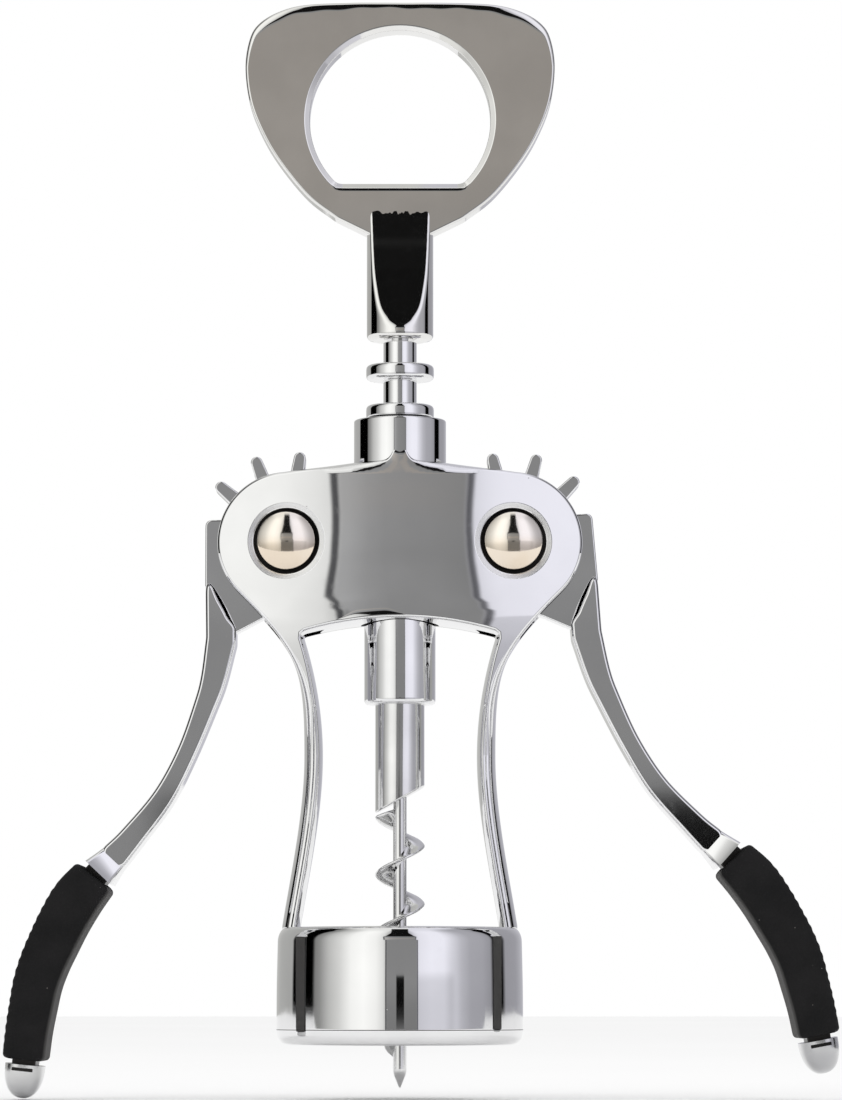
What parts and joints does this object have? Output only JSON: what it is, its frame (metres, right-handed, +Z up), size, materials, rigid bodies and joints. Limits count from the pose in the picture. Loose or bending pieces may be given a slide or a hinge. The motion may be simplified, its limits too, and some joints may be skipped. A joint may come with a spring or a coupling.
{
  "type": "wing corkscrew",
  "caption": "Chrome wing corkscrew: geared levers with rubber grips, ringed rack stem, crown-cap opener handle, worm and a bell that sits on the bottle.",
  "frame": {"origin": "on the axis of the worm, in the plane of the bell's lower rim, where the bottle goes in", "axes": "+Z up along the stem towards the handle, +X towards the right lever, -Y the front in the picture"},
  "size_m": [0.1361, 0.0404, 0.1812],
  "materials": {
    "chrome_casting": "bright chrome plate on a zinc casting",
    "chrome_handle": "bright chrome plate",
    "chrome_stem": "bright chrome plate on turned steel",
    "plated_steel": "nickel-plated steel",
    "warm_nickel": "polished warm nickel",
    "black_rubber": "matt moulded rubber with fine ribs on the outer edge",
    "black_nylon": "plain black nylon"
  },
  "bodies": {
    "frame": {"frame_casting": "chrome_casting", "left_pivot_pin": "warm_nickel", "right_pivot_pin": "warm_nickel", "left_pivot_nut": "warm_nickel", "right_pivot_nut": "warm_nickel", "left_front_washer": "black_nylon", "left_rear_washer": "black_nylon", "right_front_washer": "black_nylon", "right_rear_washer": "black_nylon"},
    "bush": {"collar_bush": "black_nylon"},
    "stem": {"opener_handle": "chrome_handle", "rack_stem": "chrome_stem", "worm": "plated_steel", "handle_cross_pin": "plated_steel", "worm_cross_pin": "plated_steel"},
    "left_wing": {"left_lever": "chrome_casting", "left_grip": "black_rubber", "left_end_cap": "chrome_casting"},
    "right_wing": {"right_lever": "chrome_casting", "right_grip": "black_rubber", "right_end_cap": "chrome_casting"}
  },
  "joints": [
    {"name": "stem_spin", "type": "hinge", "parent": "frame", "child": "bush", "pos_m": [0, 0, 0.0998], "axis": [0, 0, 1], "continuous": true},
    {"name": "stem_slide", "type": "slide", "parent": "bush", "child": "stem", "axis": [0, 0, 1], "range_m": [-0.03, 0.0046]},
    {"name": "left_wing_hinge", "type": "hinge", "parent": "frame", "child": "left_wing", "pos_m": [-0.0186, 0, 0.0822], "axis": [0, -1, 0], "range_deg": [-131, 21]},
    {"name": "right_wing_hinge", "type": "hinge", "parent": "frame", "child": "right_wing", "pos_m": [0.0186, 0, 0.0822], "axis": [0, 1, 0], "range_deg": [-131, 21]}
  ],
  "couplings": [
    {"joint": "left_wing_hinge", "follows": "stem_slide", "rad_per_m": 75.758},
    {"joint": "right_wing_hinge", "follows": "stem_slide", "rad_per_m": 75.758}
  ]
}
